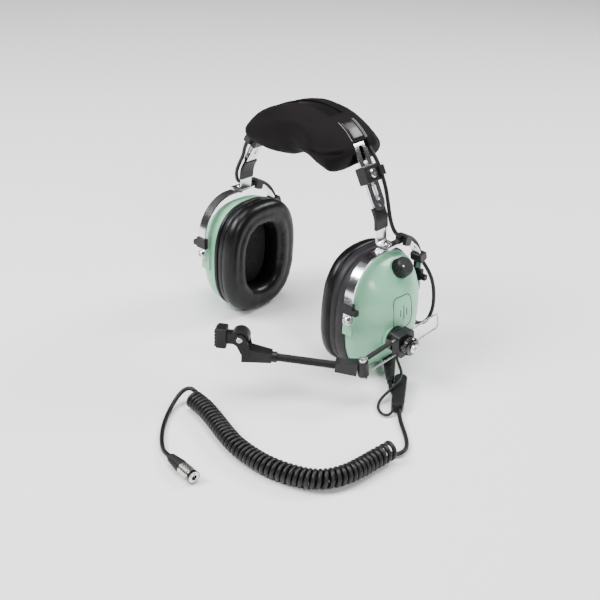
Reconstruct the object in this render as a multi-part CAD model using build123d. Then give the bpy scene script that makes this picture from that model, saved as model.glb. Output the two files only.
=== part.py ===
from build123d import *
from math import cos, pi, radians, sin, tan
import os

# Aviation headset, standing on its two cups. Millimetres.
# +X is the wearer's left (boom side), -Y is the front, +Z is up, the ground is z = 0.
# Sizes are from the middle between the cups. The pieces are written about the middle
# of the headset's box, taken without its free cords.

# ---- driving dimensions ----
BOX_MIDDLE = (10.52, -34.77, -0.09)
HALF_GAP = 50.3          # from the middle to the inner face of each ear seal
SEAL_HALF_W = 44.05      # ear seal outline, half its width and half its height
SEAL_HALF_H = 53.0
SEAL_DEPTH = 20.0
HOLE_HALF_W = 20.45      # ear opening in the seal
HOLE_HALF_H = 30.45
OVAL_POWER = 2.6         # how square the oval outlines are
OVAL_POINTS = 24
PLATE_DEPTH = 3.0
DOME_HALF_W = 41.5
DOME_HALF_H = 49.5
DOME_WALL = 2.5
SKIRT_DEPTH = 10.7       # straight side of the dome, below its crown
CROWN_RISE = 27.0

CUP_Z = SEAL_HALF_H
PLATE_X = HALF_GAP + SEAL_DEPTH
DOME_X = PLATE_X + PLATE_DEPTH
SHOULDER_X = DOME_X + SKIRT_DEPTH
FOAM_X = (71.0, 77.8)
BAFFLE_X = (78.0, 80.0)

PIVOT_X = 84.7           # stirrup pivots, front and rear of each cup
PIVOT_Z = 60.0
STIRRUP_HALF_W = 46.0
STIRRUP_TOP = 110.0
STIRRUP_R = 34.0
STIRRUP_T = 1.5
STIRRUP_WIDTH = 8.0
BOSS_FACE = 44.9

BAND_TILT = 29.0         # straight sides of the slotted band, from upright
BAND_FOOT = (75.0, 139.0)
BAND_STRAIGHT = 48.2       # then the shoulder arc, then the flatter top arc
SHOULDER_R = 40.0
SHOULDER_TURN = 32.6
BAND_T = 1.0
BAND_WIDTH = 14.6
STRAP_T = 1.2
STRAP_WIDTH = 12.6
STRAP_IN = 2.4           # strap centreline inside the band centreline
BLOCK_AT = 30.0          # clamp block middle, along the straight from its foot

WIRE_D = 1.6
CORD_D = 3.6
MIC_LEAD_D = 2.4
CROSS_D = 3.3
COIL_D = 15.4

CLIP_ANGLES = (75.0, 19.0)   # cable clips, round the stirrup's rear shoulder
CABLE_RISE = 3.7             # cable middle above the stirrup's middle
CABLE_OUT = 2.5              # cable middle in the clamp block's loop, out from the band
CABLE_SIDE = 11.4            # and to the side of it
GLAND_AT = (88.0, 37.0, 29.0)
GLAND_WAY = (0.304, 0.862, -0.406)

PAD_HALF_W = 36.5
PAD_BOTTOM = 170.0
PAD_END = 49.5
TRIM_END_Z = 190.0          # the black strip on the band ends under the pad's cover
STRAP_FOOT_X = 77.6
TAB_Z = 111.9

KNOB_AT = (96.0, 3.0, 93.4)       # volume knob, on the dome
KNOB_WAY = (0.753, 0.0, 0.658)
SWIVEL_AT = (109.0, -13.0, 41.0)   # boom swivel, on the dome
SWIVEL_TOE = 6.0                   # its axis turns this far to the front
WIRE_TILT = 9.0                    # the boom wires run down to the front
WIRE_HALF_GAP = 7.3
WIRE_REAR = 42.0
WIRE_FRONT = 45.8
WIRE_AT = 9.3                      # wires' middle, out along the swivel axis
FLEX_START = (96.0, -72.0, 34.7)
FLEX_END = (58.0, -98.3, 36.3)
MIC_WAY = (-0.821, -0.571, 0.0)
MIC_PIVOT = (33.8, -114.7, 52.0)

RELIEF = ((93.0, 4.0, 12.0), (116.0, -22.9, 5.3))
JUNCTION = ((117.0, -9.5, 4.7), (142.0, -48.0, 4.7))
PLUG_AT = (64.4, -215.7, 5.3)
PLUG_WAY = (0.9915, -0.1300, 0.0)

# cord routes
MAIN_LEAD = ((116.0, -22.9, 5.3), (119.6, -27.6, 4.7), (124.0, -31.5, 4.7), (129.0, -34.5, 4.7))
MIC_LEAD = ((111.7, -13.0, 28.8), (112.9, -12.8, 23.0), (115.6, -12.4, 17.6), (119.5, -13.9, 14.0),
            (123.4, -19.0, 13.0), (126.6, -28.0, 12.4), (125.6, -36.4, 8.8), (123.6, -43.0, 4.4),
            (124.8, -50.0, 1.8), (129.8, -56.4, 1.6), (136.4, -59.4, 1.6), (140.6, -57.4, 1.9),
            (141.2, -53.4, 3.2), (139.65, -49.6, 4.4))
COIL = ((174.9, -89.5, 7.9), (172.4, -116.5, 7.9), (170.7, -137.8, 7.9), (165.4, -154.2, 7.9),
        (156.7, -164.3, 7.9), (143.3, -171.0, 7.9), (126.1, -175.8, 7.9), (109.9, -176.7, 7.9),
        (91.0, -175.4, 7.9), (72.5, -169.8, 7.9), (54.2, -163.1, 7.9), (34.2, -157.0, 7.9), (20.5, -156.3, 7.9))
COIL_LEAD = ((143.3, -47.1, 4.2), (148.5, -53.5, 3.0), (156.0, -60.4, 2.0), (164.5, -67.6, 1.9),
             (172.0, -75.0, 1.9), (177.0, -82.4, 2.2), (178.7, -89.9, 3.3))
TAIL = ((20.5, -152.1, 12.1), (16.6, -152.6, 12.7), (13.2, -155.2, 11.4), (11.4, -159.6, 8.0),
        (12.2, -165.2, 4.6), (15.6, -173.2, 2.3), (22.6, -183.8, 1.9), (31.8, -195.0, 1.9),
        (41.4, -204.1, 1.9), (50.6, -210.8, 2.6), (57.6, -214.4, 4.4), (64.4, -215.7, 5.3))


# ---- helpers ----
def oval_point(angle, half_width, half_height):
    """A point of the superellipse, at this angle round it."""
    wide = abs(cos(angle) / half_width) ** OVAL_POWER
    tall = abs(sin(angle) / half_height) ** OVAL_POWER
    reach = (wide + tall) ** (-1 / OVAL_POWER)
    return (reach * cos(angle), reach * sin(angle))


def oval(x, half_width, half_height):
    """An oval face square to X, on the cup's axis."""
    angles = [2 * pi * i / OVAL_POINTS for i in range(OVAL_POINTS)]
    points = [oval_point(a, half_width, half_height) for a in angles]
    face = make_face(Spline(*points, periodic=True))
    return Plane(origin=(x, 0, CUP_Z), x_dir=(0, 1, 0), z_dir=(1, 0, 0)) * face


def oval_block(x0, x1, half_width, half_height):
    """A straight oval block from x0 to x1."""
    return extrude(oval(x0, half_width, half_height), amount=x1 - x0)


def rod(start, direction, radius, length):
    """A cylinder from start along direction."""
    plane = Plane(origin=start, z_dir=direction)
    return plane * Cylinder(radius, length, align=(Align.CENTER, Align.CENTER, Align.MIN))


def rod_between(start, end, radius):
    """A cylinder from one point to another."""
    way = Vector(*end) - Vector(*start)
    return rod(start, way, radius, way.length)


def cone_between(start, end, start_radius, end_radius):
    """A tapered round piece from one point to another."""
    way = Vector(*end) - Vector(*start)
    plane = Plane(origin=start, z_dir=way)
    taper = Cone(start_radius, end_radius, way.length, align=(Align.CENTER, Align.CENTER, Align.MIN))
    return plane * taper


def along(origin, direction, distance):
    """The point this far from origin along a unit direction."""
    return tuple(o + d * distance for o, d in zip(origin, direction))


def halfway(a, b):
    """The middle of two points."""
    return tuple((p + q) / 2 for p, q in zip(a, b))


def spun(origin, direction, outline):
    """A turned piece from (distance, radius) points along its axis."""
    first = outline[0][0]
    last = outline[-1][0]
    points = [(0, first)] + [(radius, distance) for distance, radius in outline] + [(0, last)]
    half = make_face(Polyline(*points, close=True))
    solid = revolve(Plane.XZ * half, axis=Axis.Z)
    return Plane(origin=origin, z_dir=direction) * solid


def ribbed(start, end, low, high, count):
    """A (distance, radius) outline with rounded ribs, low and high the radii at each end."""
    outline = []
    pitch = (end - start) / count
    for i in range(count):
        at = start + i * pitch
        share = i / count
        valley = low[0] + (low[1] - low[0]) * share
        crest = high[0] + (high[1] - high[0]) * share
        outline += [(at, valley), (at + 0.2 * pitch, crest), (at + 0.75 * pitch, crest), (at + 0.95 * pitch, valley)]
    return outline + [(end, low[1])]


def corner_radii(route):
    """The largest even arc that each corner's two runs allow."""
    radii = []
    for before, corner, after in zip(route, route[1:], route[2:]):
        run_in = Vector(*corner) - Vector(*before)
        run_out = Vector(*after) - Vector(*corner)
        half_turn = radians(run_in.get_angle(run_out)) / 2
        radii.append(0.45 * min(run_in.length, run_out.length) / tan(half_turn))
    return radii


def tube(name, route, diameter):
    """A round cord of straight runs and tangent arcs along a route."""
    radii = corner_radii(route)
    path = FilletPolyline(*route, radius=radii)
    start = Plane(origin=route[0], z_dir=Vector(*route[1]) - Vector(*route[0]))
    solid = sweep(start * Circle(diameter / 2), path=path)
    expected = pi * diameter**2 / 4 * path.length
    print(f"{name}: length {path.length:.0f}, volume ratio {solid.volume / expected:.4f}")
    print("  radii", " ".join(f"{r:.0f}" for r in radii))
    return solid


def mirrored(part):
    """The same piece on the wearer's right."""
    return mirror(part, about=Plane.YZ)


def turned(part):
    """The same piece turned half round, for the wearer's right."""
    return Rot(0, 0, 180) * part


def pan_head(origin, direction, radius, height):
    """A pan screw head with a cross recess, its underside at origin."""
    plane = Plane(origin=origin, z_dir=direction)
    head = plane * Cylinder(radius, height, align=(Align.CENTER, Align.CENTER, Align.MIN))
    head = chamfer(head.edges().sort_by(Axis(origin, direction))[-1], height * 0.35)
    recess_depth = height * 0.45
    for slot in (Box(radius * 1.1, radius * 0.28, recess_depth), Box(radius * 0.28, radius * 1.1, recess_depth)):
        head -= plane * Pos(0, 0, height - recess_depth / 2) * slot
    return head


# ---- ear cups ----
def crown_x(y, z, inset=0.0):
    """Where the dome's crown is, at this place across it."""
    wide = abs(y / (DOME_HALF_W - inset)) ** OVAL_POWER
    tall = abs((z - CUP_Z) / (DOME_HALF_H - inset)) ** OVAL_POWER
    ratio = min(1.0, (wide + tall) ** (1 / OVAL_POWER))
    return SHOULDER_X + (CROWN_RISE - inset) * (1 - ratio**2) ** 0.75


def dome_body(inset):
    """The dome's outer form, or its hollow when inset."""
    half_width = DOME_HALF_W - inset
    half_height = DOME_HALF_H - inset
    sections = [oval(DOME_X, half_width, half_height)]
    for ratio in (1.0, 0.96, 0.89, 0.79, 0.65, 0.48, 0.3, 0.12):
        x = SHOULDER_X + (CROWN_RISE - inset) * (1 - ratio**2) ** 0.75
        size = max(ratio, 0.12)
        sections.append(oval(x, half_width * size * 0.99, half_height * size * 0.99))
    return loft(sections)


def dome_shell():
    """Green dome: hollow, with a pivot boss each side."""
    body = dome_body(0.0)
    for side in (-1, 1):
        boss = rod((PIVOT_X, side * 37.0, PIVOT_Z), (0, side, 0), 5.5, BOSS_FACE - 37.0)
        lug = Pos(PIVOT_X - 1.5, side * 41.2, PIVOT_Z - 7) * Box(9, 5.4, 16)
        body += boss + lug
    body -= dome_body(DOME_WALL)
    for side in (-1, 1):
        body -= rod((PIVOT_X, side * 36.0, PIVOT_Z), (0, side, 0), 1.6, 12.0)
    return body


def ear_seal():
    """Soft ring cushion that presses round the ear, with a thinner lip behind."""
    profile = ((0.0, 36.5, 45.5), (1.6, 40.6, 49.6), (5.0, 43.3, 52.2), (9.0, SEAL_HALF_W, SEAL_HALF_H),
               (12.5, 43.6, 52.6), (13.5, 42.6, 51.6), (SEAL_DEPTH, 41.8, 50.6))
    ring = loft([oval(HALF_GAP + depth, w, h) for depth, w, h in profile])
    mouth = ((-0.1, 27.0, 37.0), (4.0, 22.5, 32.5), (9.0, HOLE_HALF_W, HOLE_HALF_H),
             (SEAL_DEPTH + 0.1, HOLE_HALF_W, HOLE_HALF_H))
    return ring - loft([oval(HALF_GAP + depth, w, h) for depth, w, h in mouth])


def ear_foam():
    """Foam over the speaker, in the ear opening."""
    return oval_block(FOAM_X[0], FOAM_X[1], 24.6, 34.6)


def baffle_plate():
    """Black plate on the dome's rim: the seal clips to it and its cup holds the speaker."""
    plate = oval_block(PLATE_X, DOME_X, 42.4, 50.4) + oval_block(DOME_X, BAFFLE_X[1], 37.8, 45.6)
    plate -= oval_block(PLATE_X - 1, BAFFLE_X[0], 25.0, 35.0)
    return plate - rod((BAFFLE_X[0] - 1, 0, CUP_Z), (1, 0, 0), 16.0, 4.0)


def speaker():
    """Speaker: basket and magnet."""
    basket = cone_between((BAFFLE_X[1], 0, CUP_Z), (BAFFLE_X[1] + 6, 0, CUP_Z), 20.0, 15.0)
    return basket + rod((BAFFLE_X[1] + 6, 0, CUP_Z), (1, 0, 0), 11.0, 6.0)


def pivot_screws():
    """Two pivot screws, front and rear, that the stirrup turns on."""
    screws = []
    for side in (-1, 1):
        shank = rod((PIVOT_X, side * 38.0, PIVOT_Z), (0, side, 0), 1.6, STIRRUP_HALF_W + 1.0 - 38.0)
        head = pan_head((PIVOT_X, side * (STIRRUP_HALF_W + 0.95), PIVOT_Z), (0, side, 0), 3.4, 2.0)
        screws.append(shank + head)
    return screws


# ---- stirrup over each cup ----
def side_plane():
    """The YZ plane through the stirrup's middle."""
    return Plane(origin=(PIVOT_X, 0, 0), x_dir=(0, 1, 0), z_dir=(1, 0, 0))


def bow_strip(thickness, width):
    """The stirrup's flat bow, from the front pivot over the cup to the rear one."""
    w = STIRRUP_HALF_W
    bow = FilletPolyline((-w, PIVOT_Z), (-w, STIRRUP_TOP), (w, STIRRUP_TOP), (w, PIVOT_Z), radius=STIRRUP_R)
    return extrude(side_plane() * trace(bow, line_width=thickness), amount=width / 2, both=True)


def stirrup():
    """Chrome steel bow with a rounded pivot end each side and a hole for the rivet on top."""
    solid = bow_strip(STIRRUP_T, STIRRUP_WIDTH)
    inner = STIRRUP_HALF_W - STIRRUP_T / 2
    for side in (-1, 1):
        solid += rod((PIVOT_X, side * inner, PIVOT_Z), (0, side, 0), STIRRUP_WIDTH / 2, STIRRUP_T)
        solid -= rod((PIVOT_X, side * (inner - 2), PIVOT_Z), (0, side, 0), 1.65, 6.0)
    return solid - rod((PIVOT_X, 0, STIRRUP_TOP - 3), (0, 0, 1), 1.65, 6.0)


def pivot_clips():
    """Two black clips round the stirrup's lower ends, each with a hook beside the dome."""
    clips = []
    for side in (-1, 1):
        clip = Pos(PIVOT_X, side * (STIRRUP_HALF_W + 0.2), 71.0) * Box(10.4, 4.0, 9.5)
        hook = Pos(PIVOT_X + 7.2, side * (STIRRUP_HALF_W + 0.2), 69.5) * Box(4.6, 4.0, 4.5)
        clips.append(clip + hook - bow_strip(STIRRUP_T, STIRRUP_WIDTH))
    return clips


def bow_point(angle, outward):
    """A point by the rear shoulder of the stirrup's bow, this far out from it."""
    reach = STIRRUP_R + outward
    y = STIRRUP_HALF_W - STIRRUP_R + reach * cos(radians(angle))
    return (PIVOT_X, y, STIRRUP_TOP - STIRRUP_R + reach * sin(radians(angle)))


def cable_clips():
    """Two black clips that hold the cross-over cable on the stirrup's rear shoulder."""
    clips = []
    for angle in CLIP_ANGLES:
        out = (0, cos(radians(angle)), sin(radians(angle)))
        plane = Plane(origin=bow_point(angle, 1.6), x_dir=(1, 0, 0), z_dir=out)
        body = plane * Box(11.0, 8.0, 8.4)
        body = fillet(body.edges().filter_by(Axis.X), 1.4)
        hole = plane * Pos(0, 0, CABLE_RISE - 1.6) * Rot(90, 0, 0) * Cylinder(CROSS_D / 2 + 0.35, 20)
        clips.append(body - hole - bow_strip(STIRRUP_T, STIRRUP_WIDTH))
    return clips


# ---- headband ----
def band_spot(s, outward):
    """X and Z of a place beside the band's straight side, s from its foot."""
    tilt = radians(BAND_TILT)
    x = BAND_FOOT[0] - s * sin(tilt) + outward * cos(tilt)
    z = BAND_FOOT[1] + s * cos(tilt) + outward * sin(tilt)
    return (x, z)


def band_plane(s, outward):
    """A plane on the band's straight side: x along it, y to the front, z outward."""
    tilt = radians(BAND_TILT)
    x, z = band_spot(s, outward)
    return Plane(origin=(x, 0, z), x_dir=(-sin(tilt), 0, cos(tilt)), z_dir=(cos(tilt), 0, sin(tilt)))


def arch_curves(outward):
    """The shoulder arcs and the top arc of the band's line, offset outward."""
    tilt = radians(BAND_TILT)
    steep = BAND_TILT + SHOULDER_TURN
    turn = JernArc(band_spot(BAND_STRAIGHT, outward), (-sin(tilt), cos(tilt)), SHOULDER_R + outward, SHOULDER_TURN)
    top = JernArc(turn @ 1, turn % 1, (turn @ 1).X / cos(radians(steep)), 2 * (90 - steep))
    back = JernArc(top @ 1, top % 1, SHOULDER_R + outward, SHOULDER_TURN)
    return [turn, top, back]


def arch(s, outward):
    """The band's whole line over the head, from this far up one side to the other."""
    curves = arch_curves(outward)
    x, z = band_spot(s, outward)
    near = Line((x, z), band_spot(BAND_STRAIGHT, outward))
    far = Line(curves[-1] @ 1, (-x, z))
    return [near] + curves + [far]


def strip(lines, thickness, width):
    """A flat strip of this thickness along lines in the XZ plane."""
    return extrude(Plane.XZ * trace(lines, line_width=thickness), amount=width / 2, both=True)


def headband_spring():
    """Slotted spring-steel band from one tongue end over the head to the other."""
    half = BAND_WIDTH / 2
    corner = band_plane(0, 0) * Box(2 * half, 2 * half + 2, 6) - band_plane(half, 0) * Cylinder(half, 6)
    hole = band_plane(4.4, 0) * Cylinder(1.5, 6)
    slot = extrude(band_plane(31.0, 0) * SlotOverall(46.0, 4.4), amount=3, both=True)
    band = strip(arch(0.0, 0.0), BAND_T, BAND_WIDTH)
    for cut in (corner, hole, slot):
        band -= cut
        band -= mirrored(cut)
    return band


def headband_trim():
    """Black strip along the top of the band."""
    whole = strip(arch_curves(1.05), 1.0, BAND_WIDTH + 0.8)
    return whole & Pos(0, 0, TRIM_END_Z + 20) * Box(120, 40, 40)


def head_pad():
    """Soft cushion under the band, flat below, with a channel for the band and the cable."""
    curves = arch_curves(1.6)
    near = curves[0] @ 0
    below = Polyline((-near.X, near.Y), (-PAD_END, PAD_BOTTOM), (PAD_END, PAD_BOTTOM), (near.X, near.Y))
    profile = make_face(curves + [below])
    pad = extrude(Plane.XZ * profile, amount=PAD_HALF_W, both=True)
    ends = pad.edges().group_by(Axis.Y)
    pad = fillet(ends[0] + ends[-1], 6.0)
    pad -= strip(arch(BAND_STRAIGHT - 6, -0.8), 7.6, 24.4)
    relief = band_plane(40.0, -2.0) * Box(28, 21.0, 14)
    return pad - relief - mirrored(relief)


# ---- strap that slides on the band and carries the stirrup ----
def strap_line(end):
    """The strap's line: tab, upright, bend, then straight beside the band."""
    bend = band_spot(-5.5, -STRAP_IN)
    return FilletPolyline((90.2, TAB_Z), (STRAP_FOOT_X, TAB_Z), bend, band_spot(end, -STRAP_IN), radius=[2.2, 18.0])


def strap():
    """Chrome strap with a rivet hole in its tab and a slot below the clamp block."""
    solid = strip(strap_line(39.0), STRAP_T, STRAP_WIDTH)
    solid -= rod((PIVOT_X, 0, TAB_Z - 2), (0, 0, 1), 1.6, 4.0)
    solid -= band_plane(BLOCK_AT, -STRAP_IN) * Cylinder(1.5, 4)
    return solid - extrude(band_plane(16.0, -STRAP_IN) * SlotOverall(9.0, 3.2), amount=2, both=True)


def strap_sleeve():
    """Black sleeve round the strap at its bend."""
    bend = band_spot(-5.5, -STRAP_IN)
    low = (STRAP_FOOT_X * 0.45 + bend[0] * 0.55, TAB_Z * 0.45 + bend[1] * 0.55)
    line = FilletPolyline(low, bend, band_spot(3.5, -STRAP_IN), radius=[18.0])
    skin = strip(line, STRAP_T + 1.6, STRAP_WIDTH + 1.8)
    return skin - strip(strap_line(39.0), STRAP_T, STRAP_WIDTH)


def rivet():
    """Rivet through the strap's tab and the stirrup, which turns on it."""
    bottom = STIRRUP_TOP - STIRRUP_T / 2 - 0.35
    shank = rod((PIVOT_X, 0, bottom), (0, 0, 1), 1.6, TAB_Z + STRAP_T / 2 - bottom)
    foot = rod((PIVOT_X, 0, bottom - 1.3), (0, 0, 1), 3.0, 1.3)
    top = pan_head((PIVOT_X, 0, TAB_Z + STRAP_T / 2), (0, 0, 1), 3.2, 1.5)
    return shank + foot + top


def clamp_block():
    """Black block round the band and the strap, with a loop for the cable at its rear."""
    block = band_plane(BLOCK_AT, -0.7) * Box(14.0, 17.6, 9.0)
    block = fillet(block.edges().filter_by(Axis.Y), 1.0)
    block += band_plane(BLOCK_AT, 2.2) * Pos(0, -10.6, 0) * Box(8.0, 6.4, 6.4)
    block -= band_plane(BLOCK_AT, 0) * Box(16.0, BAND_WIDTH + 0.4, BAND_T + 0.3)
    block -= band_plane(BLOCK_AT, -STRAP_IN) * Box(16.0, STRAP_WIDTH, STRAP_T)
    block -= band_plane(BLOCK_AT, 0) * Cylinder(1.5, 16)
    cable_way = band_plane(BLOCK_AT, CABLE_OUT) * Pos(0, -CABLE_SIDE, 0) * Rot(0, 90, 0)
    return block - cable_way * Cylinder(CROSS_D / 2 + 0.35, 24)


def clamp_screw():
    """Pan screw that clamps the block through the band's slot."""
    shank = band_plane(BLOCK_AT, -0.6) * Cylinder(1.5, 8.8)
    x, z = band_spot(BLOCK_AT, 3.8)
    tilt = radians(BAND_TILT)
    return shank + pan_head((x, 0, z), (cos(tilt), 0, sin(tilt)), 3.7, 2.0)


# ---- cross-over cable, from cup to cup ----
def beside_band(s, outward, y):
    """A point beside the band's straight side."""
    x, z = band_spot(s, outward)
    return (x, y, z)


def arch_point(angle, outward, y):
    """A point by the left half of the arch, where the band is this many degrees from level."""
    shoulder, top = arch_curves(0.0)[:2]
    edge = top if angle <= 90 - BAND_TILT - SHOULDER_TURN else shoulder
    reach = edge.radius + outward
    return (edge.arc_center.X + reach * sin(radians(angle)), y, edge.arc_center.Y + reach * cos(radians(angle)))


def cable_route():
    """Left half of the cable: gland, both stirrup clips, clamp block loop, under the pad."""
    gland_end = along(GLAND_AT, GLAND_WAY, 8.0)
    rise = [gland_end, (92.6, 50.2, 22.8), (94.6, 56.6, 26.0), (95.8, 59.8, 35.0), (96.0, 59.6, 46.0),
            (95.2, 58.2, 57.5), (92.6, 56.0, 68.0), (88.4, 52.6, 77.0)]
    over = [bow_point(a, CABLE_RISE + 0.3) for a in (12.0, 26.0, 41.0, 55.0, 68.0, 82.0)]
    up = [(82.6, 13.2, 116.4), (79.4, 10.8, 123.0), (76.4, 10.2, 132.0), (73.6, 10.6, 141.6), (70.4, 11.2, 150.6)]
    clip = [beside_band(20.0, CABLE_OUT, CABLE_SIDE), beside_band(36.0, CABLE_OUT, CABLE_SIDE)]
    shoulder = [beside_band(43.5, 1.5, 10.8), arch_point(57.0, -0.2, 10.2), arch_point(48.0, -0.6, 10.1)]
    under = [arch_point(39.0, -1.0, 10.1), arch_point(30.0, -1.6, 10.0), arch_point(23.0, -2.7, 9.4),
             arch_point(16.5, -2.8, 7.2), arch_point(10.0, -2.8, 4.4), arch_point(4.0, -2.7, 1.9)]
    middle = (0.0, 0.0, under[-1][2])
    return rise, over, up + clip, shoulder + under + [middle]


def left_cables():
    """The cable's left half in three pieces: by the cup, by the strap, and under the pad."""
    rise, over, up, under = cable_route()
    in_clip = halfway(over[-2], over[-1])
    in_loop = halfway(up[-2], up[-1])
    cup = rise + over[:-1] + [in_clip]
    yoke = [in_clip, over[-1]] + up[:-1] + [in_loop]
    band = [in_loop, up[-1]] + under
    return (tube("cable_left_cup", cup, CROSS_D), tube("cable_left_yoke", yoke, CROSS_D),
            tube("cable_left_band", band, CROSS_D))


def right_yoke_cable():
    """On the right the cable leaves the block's front edge and crosses to the rear clips."""
    over, up = cable_route()[1:3]
    turned_clip = [(-x, -y, z) for x, y, z in (halfway(up[-2], up[-1]), up[-2])]
    down = [(-69.8, -10.8, 148.8), (-76.0, -9.8, 139.0), (-80.4, -8.9, 129.6), (-81.6, -6.4, 121.6),
            (-83.6, -0.6, 117.6), (-84.7, 8.0, 116.8)]
    x, y, z = halfway(over[-2], over[-1])
    last = (-over[-1][0], over[-1][1], over[-1][2])
    return tube("cable_right_yoke", turned_clip + down + [last, (-x, y, z)], CROSS_D)


def cable_gland():
    """Rubber gland where the cable enters the dome."""
    outline = [(-4.0, 3.0), (1.0, 3.0), (1.0, 3.6), (3.0, 3.4), (7.6, 2.3)]
    return spun(GLAND_AT, GLAND_WAY, outline)


# ---- volume control ----
def left_dome(dome):
    """The dome with the flats and holes for the knob, the boom swivel and the lead."""
    for at, way, flat, depth in ((KNOB_AT, KNOB_WAY, 9.3, -0.3), (SWIVEL_AT, swivel_way(), 11.0, -0.5)):
        dome += rod(along(at, way, -3.2), way, flat, 3.2 + depth)
        dome -= rod(along(at, way, depth), way, flat + 0.6, 6.0)
    dome -= rod(along(KNOB_AT, KNOB_WAY, -8.0), KNOB_WAY, 3.5, 10.0)
    dome -= rod(along(SWIVEL_AT, swivel_way(), -8.0), swivel_way(), 4.0, 10.0)
    dome -= rod(along(SWIVEL_AT, swivel_way(), -9.0), swivel_way(), 7.4, 5.8)
    way = tuple((Vector(*RELIEF[1]) - Vector(*RELIEF[0])).normalized())
    return dome - rod(along(RELIEF[0], way, -8.0), way, 5.5, 20.0)


def volume_pot():
    """Potentiometer inside the dome, its bushing through the wall."""
    outline = [(-12.5, 7.5), (-4.4, 7.5), (-4.4, 3.5), (2.2, 3.5)]
    return spun(KNOB_AT, KNOB_WAY, outline) - rod(along(KNOB_AT, KNOB_WAY, -6.0), KNOB_WAY, 3.05, 10.0)


def volume_nut():
    """Ring nut on the bushing, outside the dome."""
    ring = spun(KNOB_AT, KNOB_WAY, [(-0.3, 5.5), (1.7, 5.5)])
    return ring - rod(along(KNOB_AT, KNOB_WAY, -1.0), KNOB_WAY, 3.5, 4.0)


def volume_shaft():
    """Shaft that turns in the bushing and carries the knob."""
    return rod(along(KNOB_AT, KNOB_WAY, -5.8), KNOB_WAY, 3.0, 13.8)


def volume_knob():
    """Black knob with finger flutes round its side."""
    knob = spun(KNOB_AT, KNOB_WAY, [(0.4, 8.5), (7.4, 8.0), (9.0, 6.8)])
    knob -= spun(KNOB_AT, KNOB_WAY, [(0.3, 6.4), (2.8, 6.4)])
    knob -= rod(along(KNOB_AT, KNOB_WAY, 2.0), KNOB_WAY, 3.0, 6.0)
    plane = Plane(origin=along(KNOB_AT, KNOB_WAY, 6.4), z_dir=KNOB_WAY)
    for i in range(16):
        knob -= plane * Rot(0, 0, i * 22.5) * Pos(8.9, 0, 0) * Cylinder(1.1, 7.6)
    return knob


# ---- boom swivel and wires ----
def swivel_way():
    """Unit vector out along the swivel's axis."""
    toe = radians(SWIVEL_TOE)
    return (cos(toe), -sin(toe), 0.0)


def boom_plane(at):
    """A plane this far out along the swivel: x forward along the wires, y down, z outward."""
    toe = radians(SWIVEL_TOE)
    tilt = radians(WIRE_TILT)
    forward = (-sin(toe) * cos(tilt), -cos(toe) * cos(tilt), -sin(tilt))
    return Plane(origin=along(SWIVEL_AT, swivel_way(), at), x_dir=forward, z_dir=swivel_way())


def swivel_base():
    """Black disc on the dome: threaded boss inside, stud outside, a spout for the lead below."""
    outline = [(-6.8, 4.0), (-0.5, 4.0), (-0.5, 10.0), (0.0, 10.5), (4.4, 10.5), (5.0, 9.9), (5.0, 2.6), (15.5, 2.6)]
    return spun(SWIVEL_AT, swivel_way(), outline) + rod_between((110.5, -13.2, 33.0), MIC_LEAD[0], 2.0)


def swivel_nut():
    """Hexagon nut inside the dome."""
    plane = Plane(origin=along(SWIVEL_AT, swivel_way(), -5.7), z_dir=swivel_way())
    return extrude(plane * RegularPolygon(6.8, 6), amount=2.4) - extrude(plane * Circle(4.0), amount=2.4)


def boom_guide():
    """Block that turns on the stud and holds both boom wires."""
    block = boom_plane(WIRE_AT) * Box(18.0, 21.0, 8.0)
    block = fillet(block.edges().filter_by(lambda e: e.length < 8.1 and e.length > 7.9), 3.0)
    block -= boom_plane(WIRE_AT) * Cylinder(2.65, 12)
    for side in (-1, 1):
        block -= boom_plane(WIRE_AT) * Pos(0, side * WIRE_HALF_GAP, 0) * Rot(0, 90, 0) * Cylinder(0.85, 24)
    return block


def clamp_knob():
    """Round black knob with shallow finger flutes, which clamps the guide."""
    knob = spun(SWIVEL_AT, swivel_way(), [(13.6, 7.2), (14.2, 7.9), (18.8, 7.9), (20.0, 7.2), (20.6, 6.0)])
    plane = boom_plane(16.6)
    for i in range(10):
        knob -= plane * Rot(0, 0, i * 36) * Pos(9.3, 0, 0) * Cylinder(1.8, 3.6)
    return knob - boom_plane(13.6) * Cylinder(2.65, 2.2, align=(Align.CENTER, Align.CENTER, Align.MIN))


def clamp_knob_screw():
    """Bright pan screw in the middle of the clamp knob."""
    return pan_head(along(SWIVEL_AT, swivel_way(), 20.6), swivel_way(), 4.2, 1.9)


def boom_wires():
    """Steel wire: two runs joined by a loop at the rear, an eyelet at each front end."""
    plane = boom_plane(WIRE_AT)
    front = WIRE_FRONT - 2.4
    line = FilletPolyline((front, WIRE_HALF_GAP), (-WIRE_REAR, WIRE_HALF_GAP), (-WIRE_REAR, -WIRE_HALF_GAP),
                          (front, -WIRE_HALF_GAP), radius=3.0)
    section = Plane(origin=(front, WIRE_HALF_GAP, 0), z_dir=(-1, 0, 0)) * Circle(WIRE_D / 2)
    wires = sweep(section, path=line)
    for side in (-1, 1):
        eyelet = Cylinder(3.1, WIRE_D) - Cylinder(1.55, WIRE_D)
        wires += Pos(WIRE_FRONT, side * WIRE_HALF_GAP, 0) * Rot(90, 0, 0) * eyelet
    return plane * wires


def lead_sleeve():
    """Black tubing on the upper wire, where the microphone lead leaves it."""
    line = boom_plane(WIRE_AT) * Pos(27.0, -WIRE_HALF_GAP, 0) * Rot(0, 90, 0)
    return line * (Cylinder(2.0, 26.0) - Cylinder(WIRE_D / 2, 26.0))


# ---- flexible boom end ----
def hinge_plane():
    """A plane at the boom's front hinge: z along its pin, upward."""
    centre = boom_plane(WIRE_AT).from_local_coords((WIRE_FRONT, 0, 0))
    up = boom_plane(WIRE_AT).y_dir * -1
    return Plane(origin=centre, x_dir=Vector(*FLEX_START) - Vector(*centre), z_dir=up)


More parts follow.
